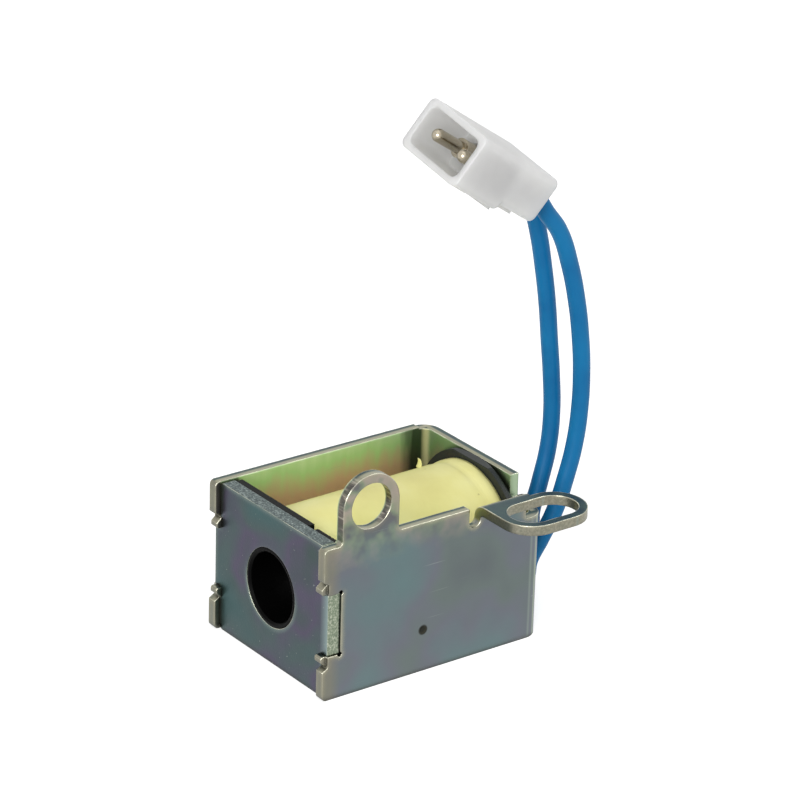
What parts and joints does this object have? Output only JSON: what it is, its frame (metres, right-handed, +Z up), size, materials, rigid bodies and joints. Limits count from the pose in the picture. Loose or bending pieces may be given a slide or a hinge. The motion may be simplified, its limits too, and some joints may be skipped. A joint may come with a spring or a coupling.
{
  "type": "push pull solenoid",
  "caption": "Open-frame push pull solenoid with a wound bobbin, sliding plunger and push rod, two mounting ears, and leads ending in a two-pole plug.",
  "frame": {"origin": "middle of the front plate's lower edge: in the frame's middle plane, halfway through the plate's thickness, on the plane the frame stands on", "axes": "+X across the frame towards the wall with the two ears, +Y from the plunger's mouth to the back, +Z up"},
  "size_m": [0.0419, 0.0558, 0.0879],
  "materials": {
    "plated_steel": "zinc plated with a faint iridescent chromate",
    "black_nylon": "moulded black nylon, satin",
    "copper_wire": "enamelled and bare copper",
    "coil_tape": "pale yellow polyester tape, satin",
    "core_steel": "nickel plated, turned",
    "ground_steel": "ground stainless",
    "brass": "rolled brass",
    "black_rubber": "black rubber, matt",
    "spring_steel": "phosphated spring steel",
    "blue_pvc": "blue PVC insulation, satin",
    "plug_nylon": "natural nylon, milky and slightly translucent",
    "tinned_brass": "tinned brass, stamped",
    "shrink_sleeve": "shrunk polyolefin sleeve"
  },
  "bodies": {
    "frame_body": {"frame": "plated_steel", "front_plate": "plated_steel", "bobbin": "black_nylon", "winding": "copper_wire", "coil_tape": "coil_tape", "coil_tail_a": "copper_wire", "coil_tail_b": "copper_wire", "splice_crimp_a": "tinned_brass", "splice_crimp_b": "tinned_brass", "splice_sleeve_a": "shrink_sleeve", "splice_sleeve_b": "shrink_sleeve", "conductor_a": "copper_wire", "conductor_b": "copper_wire", "lead_grommet": "black_rubber", "lead_a": "blue_pvc", "lead_b": "blue_pvc", "fixed_core": "core_steel", "shim_washer": "brass", "connector_housing": "plug_nylon", "terminal_a": "tinned_brass", "terminal_b": "tinned_brass"},
    "plunger_body": {"plunger": "core_steel", "push_rod": "ground_steel", "stop_washer": "black_rubber", "retaining_clip": "spring_steel"}
  },
  "joints": [
    {"name": "plunger_slide", "type": "slide", "parent": "frame_body", "child": "plunger_body", "axis": [0, -1, 0], "range_m": [0, 0.007]}
  ]
}
